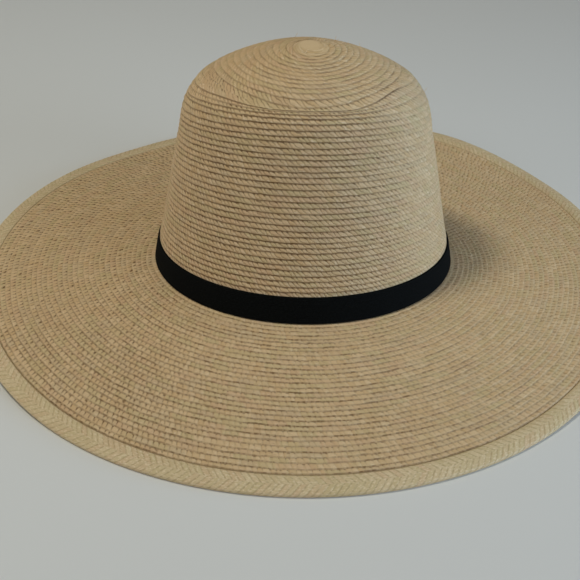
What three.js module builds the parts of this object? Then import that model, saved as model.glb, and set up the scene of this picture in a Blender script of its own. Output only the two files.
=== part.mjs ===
import * as THREE from "three";

// Lengths are in millimetres, +Z is up and -Y is the side the photo shows. The hat lies on its rim.
// A turn is an angle round the hat: 0 at the front (-Y), a quarter turn at the right (+X).

const segments = 72;

const headOval = { halfWidth: 95.9, halfDepth: 89.5 };  // outside of the band's lower edge
const brimWidth = 119.5;                                // from the band to the rim, along the straw
const strawThickness = 2.2;
const pieceGap = 0.3;

const bandThickness = 1.2;
const bandTop = 0.52;                                   // share of the way from section 0 to section 2

const edgeBraidWidth = 11.4;
const edgeBraidThickness = 3.2;
const flatFoot = 4.5;                                   // width of the rim's flat underside

const brimShort = { left: 0.8, right: 6.2, front: 0.7, back: 4.2 };  // how much narrower the brim is there
const rimLift = { left: 5.5, right: 2.2, from: 0.6 };   // the sides of the rim ride up off the table
const rimWave = { rise: 6.3, turn: 150, halfWidth: 30 };  // one wave in the rim, at the back right
const brimCrown = { level: 1.2, front: 1.4, right: -1.1 };  // how far the brim bows up between band and rim

const crownLean = 0.016;                                // the crown and its rings lean to the right
const hatShift = { right: 2.72, back: 0.83 };            // puts the middle of the rim on the axis

// Outside of the crown, from the band up to the top. rise and back place a section's centre,
// tilt is how far its front is turned up.
const crownSections = [
  { rise: 15.7, back: 0.0, halfWidth: 94.4, halfDepth: 88.0, tilt: 5.5 },
  { rise: 29.2, back: 1.4, halfWidth: 92.4, halfDepth: 85.3, tilt: 6.9 },
  { rise: 42.8, back: 2.8, halfWidth: 89.5, halfDepth: 81.8, tilt: 8.2 },
  { rise: 59.0, back: 4.5, halfWidth: 86.3, halfDepth: 78.0, tilt: 9.8 },
  { rise: 75.3, back: 6.2, halfWidth: 83.3, halfDepth: 74.4, tilt: 11.4 },
  { rise: 91.5, back: 7.9, halfWidth: 80.1, halfDepth: 70.8, tilt: 12.9 },
  { rise: 104.6, back: 9.3, halfWidth: 77.5, halfDepth: 68.0, tilt: 14.2 },
  { rise: 113.7, back: 10.2, halfWidth: 76.0, halfDepth: 66.0, tilt: 14.8 },
  { rise: 119.7, back: 10.6, halfWidth: 74.5, halfDepth: 64.2, tilt: 14.0 },
  { rise: 125.0, back: 10.9, halfWidth: 72.4, halfDepth: 61.6, tilt: 12.9 },
  { rise: 128.4, back: 11.0, halfWidth: 70.4, halfDepth: 58.9, tilt: 12.2 },
  { rise: 132.1, back: 11.0, halfWidth: 68.0, halfDepth: 56.2, tilt: 11.6 },
  { rise: 137.8, back: 11.1, halfWidth: 63.2, halfDepth: 52.2, tilt: 10.8 },
  { rise: 143.2, back: 11.1, halfWidth: 55.0, halfDepth: 45.4, tilt: 10.0 },
  { rise: 149.3, back: 11.2, halfWidth: 42.2, halfDepth: 34.0, tilt: 9.0 },
  { rise: 154.1, back: 11.3, halfWidth: 28.8, halfDepth: 22.6, tilt: 8.2 },
  { rise: 157.4, back: 11.4, halfWidth: 14.8, halfDepth: 11.2, tilt: 7.5 },
];
const crownPeak = { rise: 158.9, back: 11.4 };

const colours = {
  straw: 0xcdb58a,
  braid: 0xd9c499,
  ribbon: 0x0b0c0d,
};

function turns() {
  return Array.from({ length: segments }, (_, index) => (index * 2 * Math.PI) / segments);
}

function ringPoint(section, turn) {
  const along = -section.halfDepth * Math.cos(turn);
  const tilt = THREE.MathUtils.degToRad(section.tilt);
  const lean = (section.rise - crownSections[0].rise) * crownLean;
  return new THREE.Vector3(
    hatShift.right + lean + section.halfWidth * Math.sin(turn),
    hatShift.back + section.back + along * Math.cos(tilt),
    section.rise - along * Math.sin(tilt) - section.halfWidth * Math.sin(turn) * crownLean,
  );
}

function ring(section) {
  return turns().map((turn) => ringPoint(section, turn));
}

// Each ring of points is joined to the next one. Poles close the ends, otherwise the last ring
// joins the first, which makes a band round the hat.
function solid(name, rings, poles, material) {
  const points = rings.flat();
  const faces = [];
  const count = poles ? rings.length - 1 : rings.length;
  for (let row = 0; row < count; row += 1) {
    const low = row * segments;
    const high = ((row + 1) % rings.length) * segments;
    for (let step = 0; step < segments; step += 1) {
      const next = (step + 1) % segments;
      faces.push([low + step, low + next, high + next], [low + step, high + next, high + step]);
    }
  }
  if (poles) {
    const first = points.length;
    const last = first + 1;
    const top = (rings.length - 1) * segments;
    points.push(poles[0], poles[1]);
    for (let step = 0; step < segments; step += 1) {
      const next = (step + 1) % segments;
      faces.push([first, next, step], [last, top + step, top + next]);
    }
  }
  const volume = faces.reduce((sum, face) => {
    const [a, b, c] = face.map((index) => points[index]);
    return sum + a.dot(b.clone().cross(c));
  }, 0);
  const outward = volume > 0 ? faces : faces.map(([a, b, c]) => [a, c, b]);
  const geometry = new THREE.BufferGeometry();
  geometry.setAttribute("position", new THREE.Float32BufferAttribute(points.flatMap((p) => p.toArray()), 3));
  geometry.setIndex(outward.flat());
  geometry.computeVertexNormals();
  const mesh = new THREE.Mesh(geometry, material);
  mesh.name = name;
  return mesh;
}

// The crown's inside follows its outside at the thickness of the straw, measured across the wall.
function innerSection(index) {
  const here = crownSections[index];
  const below = crownSections[Math.max(index - 1, 0)];
  const above = crownSections[index + 1] || { rise: crownPeak.rise, halfWidth: 0 };
  const up = above.rise - below.rise;
  const inward = below.halfWidth - above.halfWidth;
  const slant = Math.hypot(up, inward);
  return {
    ...here,
    rise: index === 0 ? here.rise : here.rise - (strawThickness * inward) / slant,
    halfWidth: here.halfWidth - (strawThickness * up) / slant,
    halfDepth: here.halfDepth - (strawThickness * up) / slant,
  };
}

function makeCrown(material) {
  const outside = crownSections.map(ring);
  const inside = crownSections.map((_, index) => ring(innerSection(index)));
  const peak = new THREE.Vector3(
    hatShift.right + (crownPeak.rise - crownSections[0].rise) * crownLean,
    hatShift.back + crownPeak.back,
    crownPeak.rise,
  );
  const innerPeak = peak.clone();
  innerPeak.z -= strawThickness;
  return solid("crown", [...inside.reverse(), ...outside], [innerPeak, peak], material);
}

function makeHatBand(material) {
  const base = crownSections[0];
  const top = crownSections[2];
  const sectionAt = (share, out) => ({
    rise: base.rise + (top.rise - base.rise) * share,
    back: base.back + (top.back - base.back) * share,
    halfWidth: base.halfWidth + (top.halfWidth - base.halfWidth) * share + out,
    halfDepth: base.halfDepth + (top.halfDepth - base.halfDepth) * share + out,
    tilt: base.tilt + (top.tilt - base.tilt) * share,
  });
  const inner = pieceGap + 0.35;
  const outer = inner + bandThickness;
  const lowest = 0.012;
  const rings = [
    ring(sectionAt(lowest, inner)),
    ring(sectionAt(lowest, outer)),
    ring(sectionAt(bandTop / 2, outer + 0.1)),
    ring(sectionAt(bandTop, outer)),
    ring(sectionAt(bandTop, inner)),
    ring(sectionAt(bandTop / 2, inner)),
  ];
  return solid("hat_band", rings, null, material);
}

function rimHeight(turn) {
  const side = Math.max(0, (Math.abs(Math.sin(turn)) - rimLift.from) / (1 - rimLift.from));
  const lift = Math.sin(turn) > 0 ? rimLift.right : rimLift.left;
  const away = (THREE.MathUtils.radToDeg(turn) - rimWave.turn) / rimWave.halfWidth;
  const wave = Math.abs(away) < 1 ? rimWave.rise * Math.cos((Math.PI * away) / 2) ** 2 : 0;
  return lift * side * side * (3 - 2 * side) + wave;
}

function brimWidthAt(turn) {
  const right = Math.sin(turn);
  const front = Math.cos(turn);
  const sideShort = right > 0 ? brimShort.right : brimShort.left;
  const endShort = front > 0 ? brimShort.front : brimShort.back;
  return brimWidth - sideShort * right ** 4 - endShort * front ** 2;
}

// Upper side of the brim at a distance from the band's lower edge, which is where the brim turns up
// into the crown. Negative distances are under the crown's wall.
function brimPoint(turn, distance, drop) {
  const base = { ...crownSections[0], ...headOval };
  const start = ringPoint(base, turn);
  const out = new THREE.Vector2(Math.sin(turn) / base.halfWidth, -Math.cos(turn) / base.halfDepth).normalize();
  const rim = edgeBraidThickness - 0.2;
  const lift = rimHeight(turn);
  const reach = Math.sqrt(brimWidthAt(turn) ** 2 - (start.z - rim - lift) ** 2);
  const share = distance / brimWidth;
  const bow = brimCrown.level + brimCrown.front * Math.cos(turn) + brimCrown.right * Math.sin(turn);
  const slope = -out.y * Math.tan(THREE.MathUtils.degToRad(base.tilt)) - out.x * crownLean;
  const open = (rim - start.z) * share + lift * share ** 2 + bow * 4 * share * (1 - share);
  return new THREE.Vector3(
    start.x + out.x * reach * share,
    start.y + out.y * reach * share,
    start.z + (share < 0 ? slope * distance : open) - drop,
  );
}

function brimRing(distance, drop) {
  return turns().map((turn) => brimPoint(turn, distance, drop));
}

function makeBrim(material) {
  const innerEdge = -(bandThickness + strawThickness + pieceGap);
  const outerEdge = brimWidth - edgeBraidWidth - pieceGap;
  const distances = [innerEdge, 0, 14, 34, 54, 74, 92, outerEdge];
  const upper = distances.map((distance) => brimRing(distance, pieceGap));
  const lower = distances.map((distance) => brimRing(distance, pieceGap + strawThickness));
  return solid("brim", [...upper, ...lower.reverse()], null, material);
}

function makeEdgeBraid(material) {
  const inner = brimWidth - edgeBraidWidth;
  const footRing = (distance) => brimRing(distance, 0).map((point, index) => {
    const foot = point.clone();
    foot.z = rimHeight(turns()[index]);
    return foot;
  });
  const innerUnder = brimRing(inner, pieceGap + strawThickness).map((point, index) => {
    point.z = Math.max(point.z, rimHeight(turns()[index]) + 0.3);
    return point;
  });
  const rings = [
    innerUnder,
    brimRing(inner, 0.3),
    brimRing(inner + edgeBraidWidth * 0.35, -0.3),
    brimRing(brimWidth - 1.4, 0.2),
    brimRing(brimWidth, 1.5),
    footRing(brimWidth - 1.6),
    footRing(brimWidth - 1.6 - flatFoot),
  ];
  return solid("edge_braid", rings, null, material);
}

const straw = new THREE.MeshStandardMaterial({ color: colours.straw, roughness: 0.75, metalness: 0 });
const braid = new THREE.MeshStandardMaterial({ color: colours.braid, roughness: 0.7, metalness: 0 });
const ribbon = new THREE.MeshStandardMaterial({ color: colours.ribbon, roughness: 0.85, metalness: 0 });

const hat = new THREE.Group();
hat.name = "straw_hat";
hat.add(makeCrown(straw), makeBrim(straw), makeEdgeBraid(braid), makeHatBand(ribbon));

export default hat;
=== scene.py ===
import math

import bpy
import numpy as np
from mathutils import Matrix, Vector


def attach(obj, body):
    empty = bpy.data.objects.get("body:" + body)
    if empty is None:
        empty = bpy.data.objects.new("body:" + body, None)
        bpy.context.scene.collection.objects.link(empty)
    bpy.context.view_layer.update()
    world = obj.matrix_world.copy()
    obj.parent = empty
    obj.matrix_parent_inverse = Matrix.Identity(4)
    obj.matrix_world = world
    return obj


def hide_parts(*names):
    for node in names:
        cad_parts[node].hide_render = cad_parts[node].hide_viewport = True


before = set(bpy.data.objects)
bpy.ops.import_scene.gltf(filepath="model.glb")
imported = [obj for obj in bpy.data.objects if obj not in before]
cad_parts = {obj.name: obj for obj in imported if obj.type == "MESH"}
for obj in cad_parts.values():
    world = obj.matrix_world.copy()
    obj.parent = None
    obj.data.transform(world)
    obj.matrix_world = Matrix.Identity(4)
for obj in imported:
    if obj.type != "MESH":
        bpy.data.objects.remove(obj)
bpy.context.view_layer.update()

# Shapes are worked out in millimetres and turned into metres when a mesh is made.
# A turn is an angle round the hat: 0 at the front (-Y), a quarter turn at the right (+X).

hat = {
    "headHalfWidth": 95.9,
    "headHalfDepth": 89.5,
    "brimWidth": 119.5,
    "shortLeft": 0.8,
    "shortRight": 6.2,
    "shortFront": 0.7,
    "shortBack": 4.2,
    "strawThickness": 2.2,
    "gap": 0.3,
    "bandThickness": 1.2,
    "crownLean": 0.016,
    "shiftRight": 2.72,
    "shiftBack": 0.83,
    "edgeWidth": 11.4,
    "edgeThickness": 3.2,
    "rimLiftLeft": 5.5,
    "rimLiftRight": 2.2,
    "rimLiftFrom": 0.6,
    "waveRise": 6.3,
    "waveTurn": 150.0,
    "waveHalfWidth": 30.0,
    "bowLevel": 1.2,
    "bowFront": 1.4,
    "bowRight": -1.1,
}

# rise, back, half width, half depth and tilt in degrees, from the band up to the top of the crown
crownSections = np.array([
    (15.7, 0.0, 94.4, 88.0, 5.5),
    (29.2, 1.4, 92.4, 85.3, 6.9),
    (42.8, 2.8, 89.5, 81.8, 8.2),
    (59.0, 4.5, 86.3, 78.0, 9.8),
    (75.3, 6.2, 83.3, 74.4, 11.4),
    (91.5, 7.9, 80.1, 70.8, 12.9),
    (104.6, 9.3, 77.5, 68.0, 14.2),
    (113.7, 10.2, 76.0, 66.0, 14.8),
    (119.7, 10.6, 74.5, 64.2, 14.0),
    (125.0, 10.9, 72.4, 61.6, 12.9),
    (128.4, 11.0, 70.4, 58.9, 12.2),
    (132.1, 11.0, 68.0, 56.2, 11.6),
    (137.8, 11.1, 63.2, 52.2, 10.8),
    (143.2, 11.1, 55.0, 45.4, 10.0),
    (149.3, 11.2, 42.2, 34.0, 9.0),
    (154.1, 11.3, 28.8, 22.6, 8.2),
    (157.4, 11.4, 14.8, 11.2, 7.5),
    (158.9, 11.4, 0.0, 0.0, 7.0),
])


def ringPoint(section, turn):
    rise, back, halfWidth, halfDepth, tilt = np.moveaxis(section, -1, 0)
    tilt = np.radians(tilt)
    along = -halfDepth * np.cos(turn)
    lean = (rise - crownSections[0, 0]) * hat["crownLean"]
    x = hat["shiftRight"] + lean + halfWidth * np.sin(turn)
    y = hat["shiftBack"] + back + along * np.cos(tilt)
    z = rise - along * np.sin(tilt) - halfWidth * np.sin(turn) * hat["crownLean"]
    return np.stack(np.broadcast_arrays(x, y, z), axis=-1)


frontPoints = ringPoint(crownSections, 0.0)
climb = np.concatenate([[0.0], np.cumsum(np.linalg.norm(np.diff(frontPoints, axis=0), axis=1))])
sectionSlope = np.gradient(crownSections, climb, axis=0)
sectionSlope[-1, 0] = 0.0  # the top is level, and the crown goes straight through it
sectionSlope[-1, 2:4] = -1.0


def crownPoint(height, turn):
    # height is measured along the front of the crown, from the band's lower edge
    height = np.clip(np.asarray(height, dtype=float), 0.0, climb[-1])
    low = np.clip(np.searchsorted(climb, height, side="right") - 1, 0, len(climb) - 2)
    span = (climb[low + 1] - climb[low])[..., None]
    t = (height[..., None] - climb[low][..., None]) / span
    section = (
        (2 * t ** 3 - 3 * t ** 2 + 1) * crownSections[low]
        + (t ** 3 - 2 * t ** 2 + t) * span * sectionSlope[low]
        + (3 * t ** 2 - 2 * t ** 3) * crownSections[low + 1]
        + (t ** 3 - t ** 2) * span * sectionSlope[low + 1]
    )
    return ringPoint(section, turn)


def rimHeight(turn):
    side = np.maximum(0.0, (np.abs(np.sin(turn)) - hat["rimLiftFrom"]) / (1 - hat["rimLiftFrom"]))
    lift = np.where(np.sin(turn) > 0, hat["rimLiftRight"], hat["rimLiftLeft"])
    away = (np.degrees(turn) % 360.0 - hat["waveTurn"]) / hat["waveHalfWidth"]
    wave = np.where(np.abs(away) < 1, hat["waveRise"] * np.cos(np.pi * away / 2) ** 2, 0.0)
    return lift * side * side * (3 - 2 * side) + wave


def brimWidthAt(turn):
    right, front = np.sin(turn), np.cos(turn)
    sideShort = np.where(right > 0, hat["shortRight"], hat["shortLeft"])
    endShort = np.where(front > 0, hat["shortFront"], hat["shortBack"])
    return hat["brimWidth"] - sideShort * right ** 4 - endShort * front ** 2


def brimPoint(distance, turn, drop=0.0):
    # upper side of the brim, at a distance from the band's lower edge along the straw
    base = crownSections[0].copy()
    base[2:4] = hat["headHalfWidth"], hat["headHalfDepth"]
    start = ringPoint(base, turn)
    outX = np.sin(turn) / base[2]
    outY = -np.cos(turn) / base[3]
    length = np.hypot(outX, outY)
    outX, outY = outX / length, outY / length
    rim = hat["edgeThickness"] - 0.2
    lift = rimHeight(turn)
    reach = np.sqrt(brimWidthAt(turn) ** 2 - (start[..., 2] - rim - lift) ** 2)
    share = distance / hat["brimWidth"]
    bow = hat["bowLevel"] + hat["bowFront"] * np.cos(turn) + hat["bowRight"] * np.sin(turn)
    slope = -outY * math.tan(math.radians(base[4])) - outX * hat["crownLean"]
    over = (rim - start[..., 2]) * share + lift * share ** 2 + bow * 4 * share * (1 - share)
    x = start[..., 0] + outX * reach * share
    y = start[..., 1] + outY * reach * share
    z = start[..., 2] + np.where(share < 0, slope * distance, over) - drop
    return np.stack(np.broadcast_arrays(x, y, z), axis=-1)


def roundNoise(random, turn, longest, shortest, count=14):
    # a smooth wander that closes on itself after one turn, between about -1 and 1
    waves = random.integers(longest, shortest, count)
    starts = random.uniform(0, 2 * math.pi, count)
    return sum(np.sin(wave * turn + start) for wave, start in zip(waves, starts)) / math.sqrt(count)


def turnsRound(columns):
    # from the back round the left, the front and the right to the back again
    return np.linspace(math.pi, 3 * math.pi, columns + 1)


def degreesOf(turn):
    # 0 at the front, 90 at the right and -90 at the left
    return (np.degrees(turn) + 180.0) % 360.0 - 180.0


def ramp(value, start, length):
    # 0 up to start, then rising to 1 over a length
    return np.clip((value - start) / length, 0, 1)


def plateau(degrees, middle, reach, fade):
    # 1 within reach of the middle, and falling away softly outside it
    return np.exp(-(np.clip(np.abs(degrees - middle) - reach, 0, None) / fade) ** 2)


def onSeam(row):
    return row % 1.0 < 0.01 or row % 1.0 > 0.99


def backRings(rows):
    # the rings that the other side of the straw repeats, from the last: each row's seam and middle
    chosen = []
    for index in range(len(rows) - 1, -1, -1):
        part = rows[index] % 1.0
        if part < 0.01 or 0.3 < part < 0.6:
            chosen.append(index)
    return chosen


def cellsRound(points, rowNumbers, cellLength):
    # plait cells round each line of faces, the same number for all lines of one row
    cells = []
    for index in range(len(points) - 1):
        ring = points[index:index + 2].mean(axis=0)
        around = np.linalg.norm(np.diff(ring, axis=0), axis=1).sum()
        cells.append(max(3, around / cellLength))
    cells = np.array(cells)
    faceRow = np.floor((np.array(rowNumbers[:-1]) + np.array(rowNumbers[1:])) / 2).astype(int)
    for number in np.unique(faceRow):
        cells[faceRow == number] = round(cells[faceRow == number].mean())
    return cells


def wallNormals(points):
    # outward normals of a sheet whose first and last columns meet
    ring = points[:, :-1]
    across = np.roll(ring, -1, axis=1) - np.roll(ring, 1, axis=1)
    along = np.gradient(ring, axis=0)
    normal = np.cross(along, across)
    length = np.linalg.norm(normal, axis=-1, keepdims=True)
    normal = np.where(length > 1e-9, normal / np.maximum(length, 1e-9), np.array([0.0, 0.0, 1.0]))
    return np.concatenate([normal, normal[:, :1]], axis=1)


def layMesh(name, points, cells, rows, wide, dark):
    # A grid is bent round the hat: its columns are turns and its lines are rings of points.
    # cells is the number of plait cells round each line of faces, rows the row number at each ring,
    # wide the row's width in mm and dark how dark the painted seam shade is at each point.
    lines, columns = points.shape[0] - 1, points.shape[1] - 1
    bpy.ops.object.select_all(action="DESELECT")
    bpy.ops.mesh.primitive_grid_add(x_subdivisions=columns, y_subdivisions=lines, size=1.0, calc_uvs=True)
    piece = bpy.context.object
    piece.name = name
    mesh = piece.data
    mesh.name = name
    flat = np.empty(len(mesh.vertices) * 3)
    mesh.vertices.foreach_get("co", flat)
    flat = flat.reshape(-1, 3)
    column = np.rint((flat[:, 0] + 0.5) * columns).astype(int)
    line = np.rint((flat[:, 1] + 0.5) * lines).astype(int)
    placed = points[line, column] / 1000.0
    mesh.vertices.foreach_set("co", placed.ravel())

    corner = np.empty(len(mesh.loops), dtype=int)
    mesh.loops.foreach_get("vertex_index", corner)
    corners = corner.reshape(-1, 4)
    faceLine = np.repeat(line[corners].min(axis=1), 4)
    along = column[corner] / columns * np.asarray(cells)[faceLine]
    pattern = np.stack([along, np.asarray(rows)[line[corner]]], axis=1)
    mesh.uv_layers[0].name = "rows"
    mesh.uv_layers["rows"].data.foreach_set("uv", pattern.ravel())
    for key, values in (("rowWidth", wide), ("seamShading", dark)):
        layer = mesh.attributes.new(key, "FLOAT", "POINT")
        layer.data.foreach_set("value", values[line, column])
    mesh.update()

    bpy.ops.object.mode_set(mode="EDIT")
    bpy.ops.mesh.select_all(action="SELECT")
    bpy.ops.mesh.remove_doubles(threshold=0.0000005)
    bpy.ops.mesh.normals_make_consistent(inside=False)
    bpy.ops.object.mode_set(mode="OBJECT")
    bpy.ops.object.shade_smooth()
    piece.select_set(False)
    return piece


class Wire:
    # an output socket that can be added, multiplied and so on, each time with a Math node
    def __init__(self, finish, socket):
        self.finish = finish
        self.socket = socket

    def __add__(self, other):
        return self.finish.maths("ADD", self, other)

    def __radd__(self, other):
        return self.finish.maths("ADD", other, self)

    def __sub__(self, other):
        return self.finish.maths("SUBTRACT", self, other)

    def __rsub__(self, other):
        return self.finish.maths("SUBTRACT", other, self)

    def __mul__(self, other):
        return self.finish.maths("MULTIPLY", self, other)

    def __rmul__(self, other):
        return self.finish.maths("MULTIPLY", other, self)

    def __truediv__(self, other):
        return self.finish.maths("DIVIDE", self, other)

    def __pow__(self, other):
        return self.finish.maths("POWER", self, other)


class Finish:
    def __init__(self, name):
        self.material = bpy.data.materials.new(name)
        self.material.use_nodes = True
        self.tree = self.material.node_tree
        self.shader = self.tree.nodes["Principled BSDF"]

    def node(self, kind, settings=None, inputs=None, output=0):
        made = self.tree.nodes.new(kind)
        for key, value in (settings or {}).items():
            setattr(made, key, value)
        for key, value in (inputs or {}).items():
            self.join(made.inputs[key], value)
        return Wire(self, made.outputs[output])

    def join(self, socket, value):
        if isinstance(value, Wire):
            self.tree.links.new(value.socket, socket)
        else:
            socket.default_value = value

    def maths(self, operation, *values):
        return self.node("ShaderNodeMath", {"operation": operation}, dict(enumerate(values)))

    def between(self, value, low, high):
        # 0 below low, 1 above high, smooth between them
        return self.node(
            "ShaderNodeMapRange",
            {"interpolation_type": "SMOOTHSTEP"},
            {"Value": value, "From Min": low, "From Max": high},
        )

    def blend(self, share, first, second):
        return self.node("ShaderNodeMix", {"data_type": "RGBA"}, {0: share, 6: first, 7: second}, 2)

    def vector(self, x, y=0.0, z=0.0):
        return self.node("ShaderNodeCombineXYZ", None, {"X": x, "Y": y, "Z": z})

    def dice(self, x, y, z=0.0):
        # one throw between 0 and 1 for each place
        settings = {"noise_dimensions": "3D"}
        return self.node("ShaderNodeTexWhiteNoise", settings, {"Vector": self.vector(x, y, z)})

    def noise(self, vector, scale, detail=2.0, roughness=0.5):
        inputs = {"Vector": vector, "Scale": scale, "Detail": detail, "Roughness": roughness}
        return self.node("ShaderNodeTexNoise", None, inputs)


def shade(red, green, blue):
    return (red, green, blue, 1.0)


strawLook = {
    "light": shade(0.74, 0.545, 0.325),
    "tan": shade(0.635, 0.43, 0.225),
    "green": shade(0.57, 0.455, 0.235),
    "pink": shade(0.635, 0.415, 0.245),
    "grey": shade(0.56, 0.435, 0.27),
    "bright": shade(0.88, 0.73, 0.51),
    # the darkest colour is painted shade for the seams, pits and gaps between strands, and also a few
    # random dark specks
    "shadeAndSpeck": shade(0.13, 0.058, 0.014),
    "button": shade(0.71, 0.525, 0.31),
    "lane": 3.2,
    "cell": 3.1,
    "roughness": 0.62,
}


def strawFinish(name, look):
    # All lengths are in mm. A row starts under the one before it, at its seam, and ends in a small step.
    # A wide row is plaited in lanes, and each lane is a line of slanting strands, one to a cell.
    finish = Finish(name)
    rows = finish.node("ShaderNodeUVMap", {"uv_map": "rows"})
    along = finish.node("ShaderNodeSeparateXYZ", None, {"Vector": rows}, 0)
    across = finish.node("ShaderNodeSeparateXYZ", None, {"Vector": rows}, 1)
    width = finish.node("ShaderNodeAttribute", {"attribute_name": "rowWidth"}, None, 2)
    seamShading = finish.node("ShaderNodeAttribute", {"attribute_name": "seamShading"}, None, 2)
    place = finish.node("ShaderNodeTexCoord", None, None, 3)
    sideways = finish.node("ShaderNodeSeparateXYZ", None, {"Vector": place}, 0)

    row = finish.maths("FLOOR", across)
    share = across - row
    fromSeam = share * width
    fromEdge = (1.0 - share) * width
    laneWidth = width / finish.maths("MAXIMUM", finish.maths("FLOOR", width / strawLook["lane"]), 1.0)
    lane = finish.maths("FLOOR", fromEdge / laneWidth)
    fromTop = laneWidth * (lane + 1.0) - fromEdge
    start = finish.dice(row, 3.7)
    wander = finish.noise(finish.vector(along * 0.45, row * 3.1), 1.0, 3.0, 0.65)
    strand = along + start * 7.0 + fromEdge * (look["slant"] / strawLook["cell"]) + (wander - 0.5) * 2.4
    strand = strand + lane * 0.47
    cell = finish.maths("FLOOR", strand)
    inCell = strand - cell
    offCentre = finish.maths("ABSOLUTE", inCell - 0.5) * 2.0
    plaited = finish.between(across, 0.45, 0.85)  # the middle of the button is smooth
    strandRise = (1.0 - offCentre ** 2.6) * plaited

    # colours: one throw per strand and one per stretch of a few strands
    stretch = finish.maths("FLOOR", strand / 3.0 + start * 5.0)
    first = finish.dice(cell, row + lane * 0.37, 1.3)
    second = finish.dice(stretch, row, 8.1)
    third = finish.dice(stretch, row, 15.7)
    fourth = finish.dice(cell, row + lane * 0.37, 31.9)
    colour = finish.blend(first, strawLook["light"], strawLook["tan"])
    colour = finish.blend(finish.between(second, 0.62, 0.92) * 0.62, colour, strawLook["green"])
    colour = finish.blend(finish.between(third, 0.66, 0.95) * 0.62, colour, strawLook["pink"])
    colour = finish.blend(finish.between(second, 0.30, 0.05) * 0.5, colour, strawLook["grey"])
    colour = finish.blend(plaited, strawLook["button"], colour)

    # fibres run along each strand
    fibrePlace = finish.vector(strand * 7.0, fromEdge * 0.6 + row * 5.3, lane)
    fibre = finish.noise(fibrePlace, 1.6, 3.0, 0.6)
    colour = finish.blend(finish.between(fibre, 0.62, 0.38) * 0.42 * plaited, colour, strawLook["tan"])
    broad = finish.noise(place, 14.0, 2.0)
    colour = finish.blend(finish.between(broad, 0.35, 0.7) * 0.25, colour, strawLook["tan"])
    fleck = finish.noise(finish.vector(strand * 2.6, fromEdge * 1.5 + row * 2.9, lane * 4.1), 1.0, 3.0, 0.7)
    # painted highlight: the lower middle of some strands is blended toward a bright colour as a glint
    glint = finish.between(share, 0.25, 0.7) * finish.between(offCentre, 0.8, 0.2)
    glint = glint * finish.between(fourth, 0.2, 0.9) * finish.between(fleck, 0.47, 0.6) * plaited
    colour = finish.blend(glint * look["glint"], colour, strawLook["bright"])

    # painted shade: the seam is darkest on the step under each row's edge, with irregular dashes where the
    # strands dive under it
    dashes = finish.noise(finish.vector(along * look["dashPitch"], row * 9.7), 1.0, 3.0, 0.7)
    dashPower = look["dashLow"] + finish.between(dashes, 0.42, 0.60) * (1.0 - look["dashLow"])
    step = 1.0 - finish.between(fromEdge, look["stepReach"] * 0.55, look["stepReach"] * 1.1)
    ragged = fromSeam + (fleck - 0.5) * 0.8 - offCentre * look["scallop"] + look["scallop"] * 0.5
    over = 1.0 - finish.between(ragged, look["overReach"] * 0.25, look["overReach"])
    line = finish.maths("MAXIMUM", step * look["stepDark"], over * look["overDark"]) * dashPower * seamShading

    # painted shade: pits are the dark ends of strands, and gaps are the lines between two strands
    pitThrow = finish.dice(cell, row + lane * 0.37, 23.1)
    pitReach = look["pitReach"] * (0.5 + pitThrow * 0.5)
    pit = finish.between(offCentre, 1.0 - look["pitLength"], 1.0 - look["pitLength"] * 0.35)
    pit = pit * (1.0 - finish.between(fromTop / pitReach, 0.35, 1.0)) * finish.between(pitThrow, 0.15, 0.75)
    gap = finish.between(offCentre, 0.62, 1.0) * finish.between(share, 1.05, 0.15) * look["gapDark"]
    gap = gap * (0.35 + finish.between(fleck, 0.40, 0.58) * 0.65)

    # toward the sides the painted seam shade fades and the painted shade in the gaps between strands shows
    # instead
    aside = finish.between(finish.maths("ABSOLUTE", sideways), 0.03, 0.10)
    gap = gap * (1.0 + (1.0 - seamShading) * look["quietGap"] + aside * look["asideGap"])
    speck = finish.between(fleck, 0.40, 0.30) * look["speck"]
    marks = finish.maths("MAXIMUM", pit * look["pitDark"], finish.maths("MAXIMUM", gap, speck))
    # the painted shade and specks are calmer on the dome, the narrowest rows and the right side, which the
    # light from the right fills
    marks = marks * plaited * (0.4 + finish.between(across, 9.0, 14.0) * 0.6)
    marks = marks * (1.0 - finish.between(sideways, 0.045, 0.085) * look["rightCalm"])
    marks = marks * finish.between(width, 0.8, 2.2)
    line = line * (0.3 + finish.between(width, 0.3, 1.8) * 0.7)
    # painted shade of the seams, pits and gaps, together with random dark specks
    dark = finish.maths("MAXIMUM", line, marks)
    colour = finish.blend(dark, colour, strawLook["shadeAndSpeck"])

    height = strandRise * look["relief"] + fibre * plaited * 0.14 - dark * 0.4
    bump = finish.node("ShaderNodeBump", None, {"Height": height, "Strength": 0.9, "Distance": 0.0006})
    roughness = strawLook["roughness"] + (fibre - 0.5) * 0.25 + dark * 0.2
    finish.join(finish.shader.inputs["Base Color"], colour)
    finish.join(finish.shader.inputs["Roughness"], roughness)
    finish.join(finish.shader.inputs["Normal"], bump)
    finish.shader.inputs["Specular IOR Level"].default_value = 0.3
    return finish.material


def seamShade(random, turn, low, high):
    # how dark the painted shade of one seam is round the hat: a long wander between low and high
    wander = 0.5 + 0.5 * roundNoise(random, turn, 2, 26)
    return np.clip(low + (high - low) * np.clip(wander, 0, 1), 0, 1)


print("frame loaded, shapes ready")


# Crown

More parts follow.
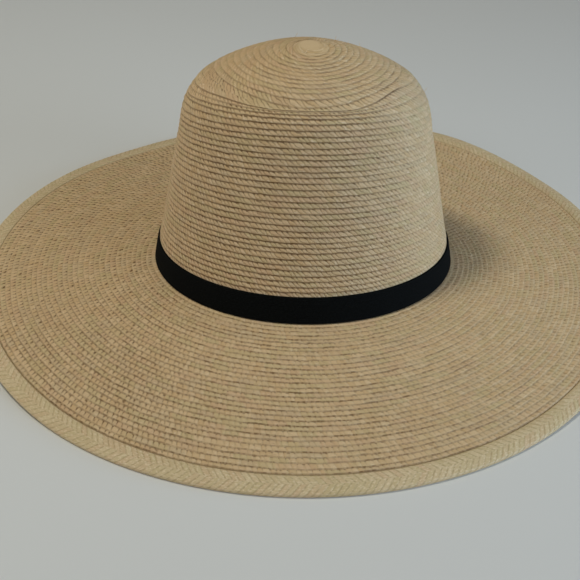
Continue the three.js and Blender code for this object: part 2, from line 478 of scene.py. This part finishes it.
crown = {
    "columns": 400,
    "wallRows": 31,
    "wallTop": 120.5,
    "wallLow": 19.0,
    "uneven": 0.09,
    "domeRows": 12,
    "button": 10.6,
    "buttonForward": 9.2,
    "buttonRight": 2.0,
    "domeRadius": 55.8,
    "buttonDark": 0.7,
    "domeDark": 0.8,
    "domeEdgeDark": 1.0,
    "step": 0.5,
    "domeStep": 0.3,
    "innerStep": 0.35,
    "narrowest": 0.25,
    "cell": 3.1,
    "seed": 11,
    "straw": {
        "slant": 0.95, "glint": 0.75, "speck": 0.45, "relief": 0.55,
        "dashPitch": 0.9, "dashLow": 0.72, "stepReach": 0.5, "stepDark": 0.9,
        "overReach": 0.95, "overDark": 0.88, "scallop": 0.35,
        "pitReach": 1.9, "pitLength": 0.5, "pitDark": 0.8,
        "gapDark": 0.62, "quietGap": 0.35, "asideGap": 0.0, "rightCalm": 0.6,
    },
}

# Rows that fan out between the dome and the wall, from the top down. heights holds points of degrees
# and mm, dark is how dark the painted seam shade is at the front, and crease how much darker the painted
# shade gets in the crease at the right.
crownFans = [
    {
        "heights": [
            (-180, 130.5), (-120, 129.5), (-52, 128.4), (-12, 125.3),
            (18, 125.2), (58, 133.4), (110, 132.0), (180, 130.5),
        ],
        "dark": 0.8,
        "crease": 0.8,
    },
    {
        "heights": [
            (-180, 127.2), (-110, 125.4), (-56, 125.9), (-14, 124.9),
            (20, 124.7), (66, 129.8), (120, 128.6), (180, 127.2),
        ],
        "dark": 0.35,
        "crease": 0.0,
    },
    {
        "heights": [
            (-180, 124.0), (-80, 122.2), (-50, 123.2), (-10, 123.0),
            (22, 123.0), (70, 126.2), (130, 125.2), (180, 124.0),
        ],
        "dark": 0.75,
        "crease": 0.0,
    },
]

# The rings of one row: the share of the row's width from its seam, and the share of its step there.
rowProfile = [(0.0, -0.12), (0.42, 0.62), (0.86, 1.0)]
buttonProfile = [(0.0, 0.0), (0.35, 0.3), (0.7, 0.6), (0.93, 0.9)]
crescentProfile = [
    (0.0, -0.1), (0.12, 0.25), (0.3, 0.45), (0.5, 0.62), (0.7, 0.8), (0.88, 0.95), (0.96, 1.0),
]


def easeTurn(degrees, points):
    # a height for each turn, from a few points of degrees and height with level ease between them
    places = np.array([point[0] for point in points])
    values = np.array([point[1] for point in points])
    low = np.clip(np.searchsorted(places, degrees, side="right") - 1, 0, len(points) - 2)
    t = np.clip((degrees - places[low]) / (places[low + 1] - places[low]), 0, 1)
    return values[low] + (values[low + 1] - values[low]) * t * t * (3 - 2 * t)


def domeSeams(random, turn):
    # A row on the dome is a circle whose middle slides from the button to the middle of the crown.
    heights = np.linspace(climb[-1] * 0.5, climb[-1], 300)
    sheet = crownPoint(heights[:, None], turn[None, :])
    peak = crownPoint(climb[-1], 0.0)
    facing = np.clip(np.cos(turn - 0.1), 0, 1)
    last = crown["domeRows"]
    seams, shades = [], []
    for number in range(last + 1):
        part = number / last
        radius = crown["button"] + (crown["domeRadius"] - crown["button"]) * part
        middleX = peak[0] + crown["buttonRight"] * (1 - part)
        middleY = peak[1] - crown["buttonForward"] * (1 - part)
        outside = np.hypot(sheet[..., 0] - middleX, sheet[..., 1] - middleY) >= radius
        # the highest place of each column that is still outside the circle
        highest = len(heights) - 1 - np.argmax(outside[::-1], axis=0)
        seams.append(np.where(outside.any(axis=0), heights[highest], heights[0]))

        # painted shade: the seams fade away from the front, and the last rows darken in the crease at the
        # right
        fade = 0.35 + 0.65 * facing ** 0.8
        strength = crown["domeDark"]
        if number == 0:
            fade = facing ** 2.5
            strength = crown["buttonDark"]
        if number > last - 3:
            fade = np.maximum(fade * 0.9, plateau(degreesOf(turn), 64, 0, 13))
        if number > last - 2:
            strength = crown["domeEdgeDark"]
        shades.append(np.clip(seamShade(random, turn, 0.4, 0.85) * fade * strength, 0, 1))
    return seams, shades


def fanSeams(turn):
    degrees = degreesOf(turn)
    # painted shade: the seams are darker at the front, and the first fan darkens in the crease at the right
    front = plateau(degrees, -22, 34, 26)
    crease = plateau(degrees, 48, 0, 12)
    seams = [easeTurn(degrees, fan["heights"]) for fan in crownFans]
    shades = [
        np.clip(fan["dark"] * (0.3 + 0.7 * front) + crease * fan["crease"], 0, 1) for fan in crownFans
    ]
    return seams, shades


def wallSeams(random, turn):
    degrees = degreesOf(turn)
    rows = crown["wallRows"] - 1
    wallHeight = crown["wallTop"] - crown["wallLow"]
    pitch = wallHeight / rows
    widths = 1 + crown["uneven"] * np.clip(random.standard_normal(rows), -1.8, 1.8)
    widths = widths + 0.10 * np.exp(-((np.arange(rows) - 10) / 3.0) ** 2)
    places = np.concatenate([[0.0], np.cumsum(widths)]) / widths.sum()
    # painted shade: the seams fade on the right, where the light from that side fills them, and a little on
    # the left
    fade = 1 - 0.85 * ramp(degrees, 16, 36) * ramp(-degrees, -165, 40)
    fade = fade * (1 - 0.25 * ramp(-degrees, 35, 30))
    seams, shades = [], []
    for place in places:
        seams.append(np.full(len(turn), crown["wallTop"] - place * wallHeight))
        shades.append(seamShade(random, turn, 0.72, 1.0) * fade)
    # the ribbon hides the rows from here down
    while seams[-1].mean() > pitch * 1.4:
        seams.append(seams[-1] - pitch)
        shades.append(np.full(len(turn), 0.8))
    seams.append(np.zeros(len(turn)))
    shades.append(np.zeros(len(turn)))
    return seams, shades


def crownSeams(random, turn):
    # the height of every seam round the crown, from the top down, and how dark it is
    seams, shades = [np.full(len(turn), climb[-1])], [np.zeros(len(turn))]
    for heights, darks in (domeSeams(random, turn), fanSeams(turn), wallSeams(random, turn)):
        seams += heights
        shades += darks
    crescent = crown["domeRows"] + 1
    for number in range(3, len(seams) - 1):
        sway = 0.035 if number in (crescent + 1, crescent + 2) else 0.12
        seams[number] = seams[number] + roundNoise(random, turn, 4, 60) * sway
    for number in range(1, len(seams)):
        seams[number] = np.minimum(seams[number], seams[number - 1] - crown["narrowest"])
    seams[-1] = np.zeros(len(turn))
    return seams, shades


def crownRings(random, turn, seams, shades):
    # every ring of the outside: its height, how far it stands out, its row number and its seam's shade
    degrees = degreesOf(turn)
    flatRight = 1 - 0.5 * ramp(degrees, 25, 30) * ramp(-degrees, -165, 40)
    crescent = crown["domeRows"] + 1
    heights, lifts, rows, darks = [], [], [], []
    for number in range(len(seams) - 1):
        upper, lower = seams[number], seams[number + 1]
        profile = {0: buttonProfile, crescent: crescentProfile}.get(number, rowProfile)
        tallness = 1.0 + (0.22 if number else 0.0) * roundNoise(random, turn, 6, 90)
        tallness = tallness * np.clip((upper - lower) / 2.2, 0.3, 1.0) * flatRight
        if number == 0:
            tallness = tallness * 0.25
        step = crown["domeStep"] if number <= crescent else crown["step"]
        tucked = 0.35 if lower.mean() < 17.0 else 1.0  # the ribbon presses the rows under it
        for share, rise in profile:
            heights.append(upper + (lower - upper) * share)
            lifts.append(step * rise * tallness * tucked)
            rows.append(number + share)
            darks.append(shades[number] + (shades[number + 1] - shades[number]) * min(1.0, share / 0.86))
    heights.append(seams[-1])
    lifts.append(np.zeros(len(turn)))
    rows.append(len(seams) - 1.0)
    darks.append(np.zeros(len(turn)))
    return np.array(heights), np.array(lifts), rows, np.array(darks)


def buildCrown():
    random = np.random.default_rng(crown["seed"])
    turn = turnsRound(crown["columns"])
    seams, shades = crownSeams(random, turn)
    heights, lifts, rows, darks = crownRings(random, turn, seams, shades)
    base = crownPoint(heights, turn[None, :])
    normals = wallNormals(base)
    normals[0] = (0.0, 0.0, 1.0)
    outside = base + normals * lifts[..., None]

    # the inside of the wall, from the band back up to the top
    back = backRings(rows)
    insideRows = [2 * len(seams) - rows[index] for index in back]
    insideLift = np.array([0.0 if onSeam(row) else 1.0 for row in insideRows])
    insideLift[0] = 0.0
    inward = base[back] - normals[back] * hat["strawThickness"]
    inside = inward - normals[back] * (insideLift * crown["innerStep"] - 0.1)[:, None, None]
    points = np.concatenate([outside, inside])
    rowNumbers = rows + insideRows
    dark = np.concatenate([darks, darks[back] * 0.7])

    # the width of the row that each ring lies in, along the surface
    borders = crownPoint(np.array(seams), turn[None, :])
    widths = np.linalg.norm(np.diff(borders, axis=0), axis=-1)
    rowWidth = np.ones(points.shape[:2])
    for index, number in enumerate(rowNumbers):
        outsideNumber = number if index < len(rows) else 2 * len(seams) - number
        rowWidth[index] = widths[min(int(outsideNumber + 0.001), len(widths) - 1)]
    cells = cellsRound(points, rowNumbers, crown["cell"])
    return layMesh("crown_straw", points, cells, rowNumbers, rowWidth, dark)


crownPiece = buildCrown()
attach(crownPiece, "root")
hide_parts("crown")
crownPiece.data.materials.append(strawFinish("crown straw", crown["straw"]))
print("crown made", len(crownPiece.data.polygons))


# Brim

# The brim's row numbers start at firstNumber, so that its throws differ from the crown's, and its
# underside's count back from underNumber.
brim = {
    "columns": 576,
    "rows": 32,
    "firstNumber": 100.0,
    "underNumber": 300.0,
    "first": 2.8,
    "last": 108.1,
    "uneven": 0.085,
    "step": 0.5,
    "underStep": 0.3,
    "narrowest": 1.2,
    "cell": 3.4,
    "seed": 23,
    "straw": {
        "slant": 0.3, "glint": 0.35, "speck": 0.3, "relief": 0.34,
        "dashPitch": 1.3, "dashLow": 0.42, "stepReach": 0.62, "stepDark": 0.82,
        "overReach": 0.62, "overDark": 0.5, "scallop": 0.25,
        "pitReach": 1.2, "pitLength": 0.6, "pitDark": 0.68,
        "gapDark": 0.16, "quietGap": 2.2, "asideGap": 5.2, "rightCalm": 0.45,
    },
}


def brimSeams(random, turn, frontal):
    # the distance of every seam from the band round the brim, and how dark it is
    innerEdge = -(hat["bandThickness"] + hat["strawThickness"] + hat["gap"])
    outerEdge = hat["brimWidth"] - hat["edgeWidth"] - hat["gap"]
    widths = 1 + brim["uneven"] * np.clip(random.standard_normal(brim["rows"] - 1), -1.8, 1.8)
    places = np.concatenate([[0.0], np.cumsum(widths)]) / widths.sum()
    # painted shade: the seams are darkest at the front and fade toward the sides and the back, a little
    # lighter toward the front right
    sideFade = 0.2 + 0.8 * frontal - 0.2 * ramp(degreesOf(turn), 15, 30) * frontal
    seams, shades = [np.full(len(turn), innerEdge)], [np.zeros(len(turn))]
    for share in places:
        place = brim["first"] + (brim["last"] - brim["first"]) * share
        place = place + roundNoise(random, turn, 4, 80) * 0.16
        seams.append(np.minimum(place, outerEdge - 0.1))
        shades.append(seamShade(random, turn, 0.55, 1.0) * sideFade)
    seams[-1] = np.full(len(turn), outerEdge)
    for number in range(1, len(seams)):
        seams[number] = np.maximum(seams[number], seams[number - 1] + brim["narrowest"])
    return seams, shades


def brimRings(random, turn, frontal, seams, shades):
    # every ring of the upper side: its distance, how far it stands up, its row number, width and shade
    distances, lifts, rows, widths, darks = [], [], [], [], []
    for number in range(len(seams) - 1):
        inner, outer = seams[number], seams[number + 1]
        tallness = (1.0 + 0.25 * roundNoise(random, turn, 6, 120)) * (0.35 + 0.65 * frontal)
        for share, rise in [(0.0, -0.12), (0.45, 0.62), (0.84, 1.0)]:
            flat = number == 0 and share < 0.5  # the row that starts under the crown
            distances.append(inner + (outer - inner) * share)
            lifts.append(brim["step"] * rise * tallness * (0.0 if flat else 1.0))
            rows.append(brim["firstNumber"] + number + share)
            widths.append(outer - inner)
            darks.append(shades[number] + (shades[number + 1] - shades[number]) * min(1.0, share / 0.84))
    distances.append(seams[-1])
    lifts.append(np.zeros(len(turn)))
    rows.append(brim["firstNumber"] + len(seams) - 1)
    widths.append(widths[-1])
    darks.append(shades[-1])
    return np.array(distances), np.array(lifts), rows, np.array(widths), np.array(darks)


def buildBrim():
    random = np.random.default_rng(brim["seed"])
    turn = turnsRound(brim["columns"])
    frontal = plateau(degreesOf(turn), -4, 44, 26)
    seams, shades = brimSeams(random, turn, frontal)
    distances, lifts, rows, widths, darks = brimRings(random, turn, frontal, seams, shades)
    upper = brimPoint(distances, turn[None, :], hat["gap"])
    upper[..., 2] += lifts

    back = backRings(rows)
    under = brimPoint(distances[back], turn[None, :], hat["gap"] + hat["strawThickness"])
    underRows = [brim["underNumber"] - rows[index] for index in back]
    for line, row in enumerate(underRows):
        under[line, :, 2] -= 0.0 if onSeam(row) else brim["underStep"]
    points = np.concatenate([upper, under, upper[:1]])
    rowNumbers = rows + underRows + [brim["underNumber"] - brim["firstNumber"] + 1.0]
    rowWidth = np.concatenate([widths, widths[back], widths[:1]])
    dark = np.concatenate([darks, darks[back], np.zeros((1, len(turn)))])
    cells = cellsRound(points, rowNumbers, brim["cell"])
    return layMesh("brim_straw", points, cells, rowNumbers, rowWidth, dark)


brimPiece = buildBrim()
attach(brimPiece, "root")
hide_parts("brim")
brimPiece.data.materials.append(strawFinish("brim straw", brim["straw"]))
print("brim made", len(brimPiece.data.polygons))


# Edge braid

edge = {
    "columns": 2160,
    "strandPitch": 3.9,
    "relief": 0.3,
    "swell": 0.45,
    "topShare": 0.96,
    "lean": 0.85,
    "light": shade(0.70, 0.55, 0.335),
    "tan": shade(0.62, 0.465, 0.265),
    # the gap colour is painted shade between strands and along the inner edge
    "gap": shade(0.31, 0.205, 0.095),
}


def strandRelief(place, phase):
    # Strands lean one way on the inner half and the other way on the outer half. place is the share of
    # the braid's width from its inner edge, phase the number of strands from the back.
    outerHalf = place >= 0.5
    local = (place - 0.5) * 2 if outerHalf else place * 2
    reach = abs(place - 0.5) * hat["edgeWidth"] * edge["lean"] / edge["strandPitch"]
    cut = (phase + reach + (0.5 if outerHalf else 0.0)) % 1.0
    hump = 1 - np.abs(2 * cut - 1) ** 2.4
    swell = 0.35 + 0.65 * math.sin(math.pi * min(max(local, 0.06), 0.94))
    return edge["relief"] * (hump * swell)


def buildEdgeBraid():
    turn = turnsRound(edge["columns"])
    width = hat["edgeWidth"]
    inner = hat["brimWidth"] - width
    foot = rimHeight(turn)
    rim = brimPoint(hat["brimWidth"] - 4.0, turn)
    steps = np.concatenate([[0.0], np.cumsum(np.linalg.norm(np.diff(rim, axis=0), axis=1))])
    strands = round(steps[-1] / edge["strandPitch"])
    phase = steps / steps[-1] * strands

    # the top swells a little and rounds off to the rim
    rings = []
    topPlaces = np.linspace(0.0, 0.96, 13)
    for place in topPlaces:
        swell = edge["swell"] * math.sin(math.pi * min(place / 0.8, 1.0))
        ring = brimPoint(inner + width * place, turn, 0.3 - swell + max(0.0, place - 0.75) * 1.2)
        ring[:, 2] += strandRelief(place, phase)
        rings.append(ring)

    # the rim goes down in three rings, and two more are its flat foot
    outer = brimPoint(hat["brimWidth"], turn)
    for out, lower in ((0.0, 0.9), (0.12, 1.6), (0.0, 2.3)):
        ring = outer.copy()
        centre = np.hypot(ring[:, 0], ring[:, 1])
        ring[:, :2] *= ((centre + out) / centre)[:, None]
        ring[:, 2] = np.maximum(ring[:, 2] - lower, foot + 0.35)
        rings.append(ring)
    for back in (1.6, 6.1):
        ring = brimPoint(hat["brimWidth"] - back, turn)
        ring[:, 2] = foot
        rings.append(ring)

    # the underside goes back to the inner edge
    for distance, drop, rise in ((hat["brimWidth"] - 8.0, 3.0, 0.0), (inner, 2.5, 0.3)):
        ring = brimPoint(distance, turn, drop)
        ring[:, 2] = np.maximum(ring[:, 2], foot + rise)
        rings.append(ring)
    rings.append(rings[0])
    points = np.array(rings)
    rowNumbers = list(topPlaces * edge["topShare"]) + [1.0, 1.1, 1.2, 1.3, 1.6, 1.8, 1.9, 2.0]
    cells = np.full(len(points) - 1, float(strands))
    rowWidth = np.full(points.shape[:2], width)
    return layMesh("edge_braid_straw", points, cells, rowNumbers, rowWidth, np.zeros(points.shape[:2]))


def edgeFinish():
    finish = Finish("edge straw")
    rows = finish.node("ShaderNodeUVMap", {"uv_map": "rows"})
    along = finish.node("ShaderNodeSeparateXYZ", None, {"Vector": rows}, 0)
    across = finish.node("ShaderNodeSeparateXYZ", None, {"Vector": rows}, 1)
    place = finish.node("ShaderNodeTexCoord", None, None, 3)
    middle = edge["topShare"] / 2
    outerHalf = finish.maths("GREATER_THAN", across, middle)
    strandsAcross = hat["edgeWidth"] / edge["topShare"] * edge["lean"] / edge["strandPitch"]
    reach = finish.maths("ABSOLUTE", across - middle) * strandsAcross
    strand = along + reach + outerHalf * 0.5
    cell = finish.maths("FLOOR", strand)
    offCentre = finish.maths("ABSOLUTE", strand - cell - 0.5) * 2.0
    throw = finish.dice(cell, outerHalf, 5.3)
    second = finish.dice(cell, outerHalf, 9.1)
    colour = finish.blend(throw, edge["light"], edge["tan"])
    colour = finish.blend(finish.between(second, 0.55, 0.95) * 0.55, colour, strawLook["green"])
    colour = finish.blend(finish.between(second, 0.30, 0.05) * 0.5, colour, strawLook["pink"])
    fibre = finish.noise(finish.vector(strand * 5.0, across * 6.0, outerHalf), 1.6, 3.0, 0.65)
    colour = finish.blend(finish.between(fibre, 0.62, 0.38) * 0.5, colour, edge["tan"])
    fleck = finish.noise(finish.vector(strand * 1.7, across * 9.0, outerHalf * 3.0), 1.3, 3.0, 0.7)
    colour = finish.blend(finish.between(fleck, 0.5, 0.62) * 0.5, colour, strawLook["bright"])
    broad = finish.noise(place, 18.0, 2.0)
    colour = finish.blend(finish.between(broad, 0.4, 0.7) * 0.25, colour, strawLook["green"])
    # painted shade: the gaps between strands and a line along the inner edge, where the braid meets the
    # brim, are darkened
    gap = finish.between(offCentre, 0.5, 1.0) * (0.12 + finish.between(fleck, 0.62, 0.38) * 0.4)
    innerLine = 1.0 - finish.between(across, 0.005, 0.06)
    dark = finish.maths("MAXIMUM", gap, innerLine * (0.35 + finish.between(fibre, 0.4, 0.6) * 0.3))
    colour = finish.blend(dark, colour, edge["gap"])
    height = (1.0 - offCentre ** 3.0) * 0.25 + fibre * 0.12
    bump = finish.node("ShaderNodeBump", None, {"Height": height, "Strength": 0.8, "Distance": 0.0006})
    finish.join(finish.shader.inputs["Base Color"], colour)
    finish.join(finish.shader.inputs["Roughness"], 0.6 + (fibre - 0.5) * 0.2)
    finish.join(finish.shader.inputs["Normal"], bump)
    finish.shader.inputs["Specular IOR Level"].default_value = 0.35
    return finish.material


edgePiece = buildEdgeBraid()
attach(edgePiece, "root")
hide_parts("edge_braid")
edgePiece.data.materials.append(edgeFinish())
print("edge braid made", len(edgePiece.data.polygons))


# Loose straw ends

ends = {
    "crownCount": 34,
    "brimCount": 40,
    "length": (1.6, 4.2),
    "thickness": 0.16,
    "droop": 0.22,
    "rooted": 0.2,
    "topHeight": 174.9,
    "topTurn": 105,
    "topLean": (0.15, -0.1, 1.0),
    "seed": 5,
}


def endSpots():
    # where each loose end starts, which way it points and how long it is; the first is on the dome
    random = np.random.default_rng(ends["seed"])
    top = crownPoint(np.array(ends["topHeight"]), math.radians(ends["topTurn"]))
    spots = [(top, Vector(ends["topLean"]), ends["length"][1])]
    for number in range(ends["crownCount"]):
        height = random.uniform(20, 180)
        turn = random.uniform(0, 2 * math.pi)
        here = crownPoint(np.array(height), turn)
        above = crownPoint(np.array(height + 1.0), turn) - here
        beside = crownPoint(np.array(height), turn + 0.01) - here
        outward = Vector(np.cross(beside, above)).normalized()
        sideways = Vector(beside).normalized() * random.uniform(-1.6, 1.6)
        upward = Vector(above).normalized() * random.uniform(-1, 0.6)
        direction = outward + (sideways + upward)
        spots.append((here + np.array(outward) * 0.2, direction, random.uniform(*ends["length"])))
    for number in range(ends["brimCount"]):
        turn = random.uniform(0, 2 * math.pi)
        here = brimPoint(random.uniform(8, 118), turn)
        lean = Vector((random.uniform(-2.4, 2.4), random.uniform(-2.4, 2.4), 0.0))
        spots.append((here, Vector((0, 0, 1)) + lean, random.uniform(*ends["length"])))
    return spots


def makeEnd(spot, direction, length):
    # a thin cone that starts a little under the straw, points along its direction and droops
    bpy.ops.mesh.primitive_cone_add(
        vertices=5,
        radius1=ends["thickness"] / 1000,
        radius2=ends["thickness"] / 3000,
        depth=length / 1000,
    )
    strand = bpy.context.object
    turned = Vector(direction).to_track_quat("Z", "Y").to_matrix()
    for vertex in strand.data.vertices:
        rise = vertex.co.z + length / 2000
        share = rise * 1000 / length
        vertex.co.x += share ** 2 * length * ends["droop"] / 1000
        vertex.co.z = rise - ends["rooted"] / 1000
        vertex.co = turned @ vertex.co + Vector(spot) / 1000
    return strand


def buildEnds():
    made = [makeEnd(*spot) for spot in endSpots()]
    bpy.ops.object.select_all(action="DESELECT")
    for strand in made:
        strand.select_set(True)
    bpy.context.view_layer.objects.active = made[0]
    bpy.ops.object.join()
    piece = bpy.context.object
    piece.name = "loose_straw_ends"
    piece.data.name = "loose_straw_ends"
    bpy.ops.object.shade_smooth()
    piece.select_set(False)
    return piece


def endsFinish():
    finish = Finish("straw ends")
    place = finish.node("ShaderNodeTexCoord", None, None, 3)
    tint = finish.noise(place, 90.0, 2.0)
    colour = finish.blend(finish.between(tint, 0.4, 0.6), strawLook["bright"], strawLook["tan"])
    finish.join(finish.shader.inputs["Base Color"], colour)
    finish.join(finish.shader.inputs["Roughness"], 0.5 + tint * 0.2)
    finish.shader.inputs["Specular IOR Level"].default_value = 0.3
    return finish.material


endsPiece = buildEnds()
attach(endsPiece, "root")
endsPiece.data.materials.append(endsFinish())
print("loose straw ends made", len(endsPiece.data.polygons))


# Hat band

band = {
    "columns": 260,
    "ribs": 14,
    "ribDepth": 0.22,
    "top": 0.52,
    "low": 0.012,
    "ringsPerRib": 3,
    "ribWidth": 1.1,
    "threads": 620,
    "black": shade(0.0022, 0.0026, 0.0024),
    "worn": shade(0.006, 0.0066, 0.0066),
}


def bandRing(turn, share, out):
    # a ring of the crown, share of the way from its foot to its third section, moved out
    section = crownSections[0] + (crownSections[2] - crownSections[0]) * share
    section[2:4] += out
    return ringPoint(section, turn)


def buildBand():
    turn = turnsRound(band["columns"])
    inner = hat["gap"] + 0.35
    outer = inner + hat["bandThickness"] - band["ribDepth"]
    rings, rowNumbers = [], []
    total = band["ribs"] * band["ringsPerRib"]
    for step in range(total + 1):
        share = band["low"] + (band["top"] - band["low"]) * step / total
        bulge = 0.1 * math.sin(math.pi * step / total)
        hump = 0.0 if step % band["ringsPerRib"] == 0 else band["ribDepth"]
        rings.append(bandRing(turn, share, outer + bulge + hump))
        rowNumbers.append(step / band["ringsPerRib"])
    for share in (band["top"], (band["top"] + band["low"]) / 2, band["low"]):
        rings.append(bandRing(turn, share, inner))
        rowNumbers.append(rowNumbers[-1] + 1.0)
    rings.append(rings[0])
    rowNumbers.append(rowNumbers[-1] + 1.0)
    points = np.array(rings)
    cells = np.full(len(points) - 1, float(band["threads"]))
    ribWidth = np.full(points.shape[:2], band["ribWidth"])
    return layMesh("hat_band_ribbon", points, cells, rowNumbers, ribWidth, ribWidth * 0)


def bandFinish():
    finish = Finish("black ribbon")
    rows = finish.node("ShaderNodeUVMap", {"uv_map": "rows"})
    along = finish.node("ShaderNodeSeparateXYZ", None, {"Vector": rows}, 0)
    across = finish.node("ShaderNodeSeparateXYZ", None, {"Vector": rows}, 1)
    rib = finish.maths("FLOOR", across)
    inRib = across - rib
    thread = finish.maths("FRACT", along + finish.maths("MODULO", rib, 2.0) * 0.5 + inRib * 0.3)
    threadRise = 1.0 - finish.maths("ABSOLUTE", thread - 0.5) * 2.0
    fuzz = finish.noise(finish.vector(along * 0.7, across * 1.3), 1.0, 3.0, 0.7)
    colour = finish.blend(finish.between(fuzz, 0.4, 0.7), band["black"], band["worn"])
    height = threadRise * 0.4 + fuzz * 0.3
    bump = finish.node("ShaderNodeBump", None, {"Height": height, "Strength": 0.7, "Distance": 0.0003})
    finish.join(finish.shader.inputs["Base Color"], colour)
    finish.join(finish.shader.inputs["Roughness"], 0.72 + fuzz * 0.2)
    finish.join(finish.shader.inputs["Normal"], bump)
    finish.shader.inputs["Specular IOR Level"].default_value = 0.06
    return finish.material


bandPiece = buildBand()
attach(bandPiece, "root")
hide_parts("hat_band")
bandPiece.data.materials.append(bandFinish())
print("hat band made", len(bandPiece.data.polygons))


# Floor, lights and camera

studio = {
    "floor": shade(0.74, 0.74, 0.73),
    "world": shade(1.0, 1.0, 1.0),
    "worldPower": 0.12,
    "keyPlace": (-0.55, -0.06, 1.42),
    "keySize": 0.3,
    "keySpread": 180,
    "keyPower": 8.3,
    "keyColour": (1.0, 0.98, 0.83),
    "sidePlace": (-1.3, -0.4, 0.3),
    "sideSize": 0.8,
    "sideSpread": 80,
    "sidePower": 0.66,
    "sideColour": (0.94, 0.97, 1.0),
    "windowPlace": (1.4, -0.05, 0.22),
    "windowSize": 0.7,
    "windowSpread": 80,
    "windowPower": 1.92,
    "windowColour": (0.45, 0.71, 1.0),
    "frontPlace": (1.15, -0.85, 0.5),
    "frontSize": 0.8,
    "frontSpread": 100,
    "frontPower": 2.70,
    "frontColour": (0.72, 0.83, 0.95),
}


def addFloor():
    bpy.ops.mesh.primitive_plane_add(size=6.0, location=(0.0, 0.0, 0.0))
    floor = bpy.context.object
    floor.name = "floor"
    finish = Finish("pale floor")
    finish.join(finish.shader.inputs["Base Color"], studio["floor"])
    finish.join(finish.shader.inputs["Roughness"], 0.85)
    floor.data.materials.append(finish.material)
    floor.select_set(False)


def addLight(name):
    place = Vector(studio[name + "Place"])
    bpy.ops.object.light_add(type="AREA", location=place)
    light = bpy.context.object
    light.name = name + " light"
    light.rotation_euler = (Vector((0.0, 0.0, 0.05)) - place).to_track_quat("-Z", "Y").to_euler()
    light.data.shape = "DISK"
    light.data.size = studio[name + "Size"]
    light.data.energy = studio[name + "Power"]
    light.data.color = studio[name + "Colour"]
    light.data.spread = math.radians(studio[name + "Spread"])
    light.select_set(False)


# place is in metres. From looking straight down, the camera is rolled, lifted toward the back of the
# hat and turned to the left, all in degrees.
view = {
    "place": (0.01032, -0.63646, 0.44407),
    "roll": -0.215,
    "lift": 54.254,
    "turn": 1.451,
    "lens": 72.77,
}


def addCamera():
    bpy.ops.object.camera_add()
    camera = bpy.context.object
    camera.name = "photo view"
    turned = (
        Matrix.Rotation(math.radians(view["turn"]), 4, "Z")
        @ Matrix.Rotation(math.radians(view["lift"]), 4, "X")
        @ Matrix.Rotation(math.radians(view["roll"]), 4, "Z")
    )
    camera.matrix_world = Matrix.Translation(view["place"]) @ turned
    camera.data.sensor_width = 36.0
    camera.data.lens = view["lens"]
    camera.data.clip_start = 0.01
    bpy.context.scene.camera = camera
    camera.select_set(False)


def addRoomLight():
    world = bpy.data.worlds.new("soft room light")
    bpy.context.scene.world = world
    world.use_nodes = True
    background = world.node_tree.nodes["Background"]
    background.inputs["Color"].default_value = studio["world"]
    background.inputs["Strength"].default_value = studio["worldPower"]


addFloor()
for lightName in ("key", "side", "window", "front"):
    addLight(lightName)
addRoomLight()
bpy.context.scene.view_settings.view_transform = "Standard"
addCamera()
print("studio ready")
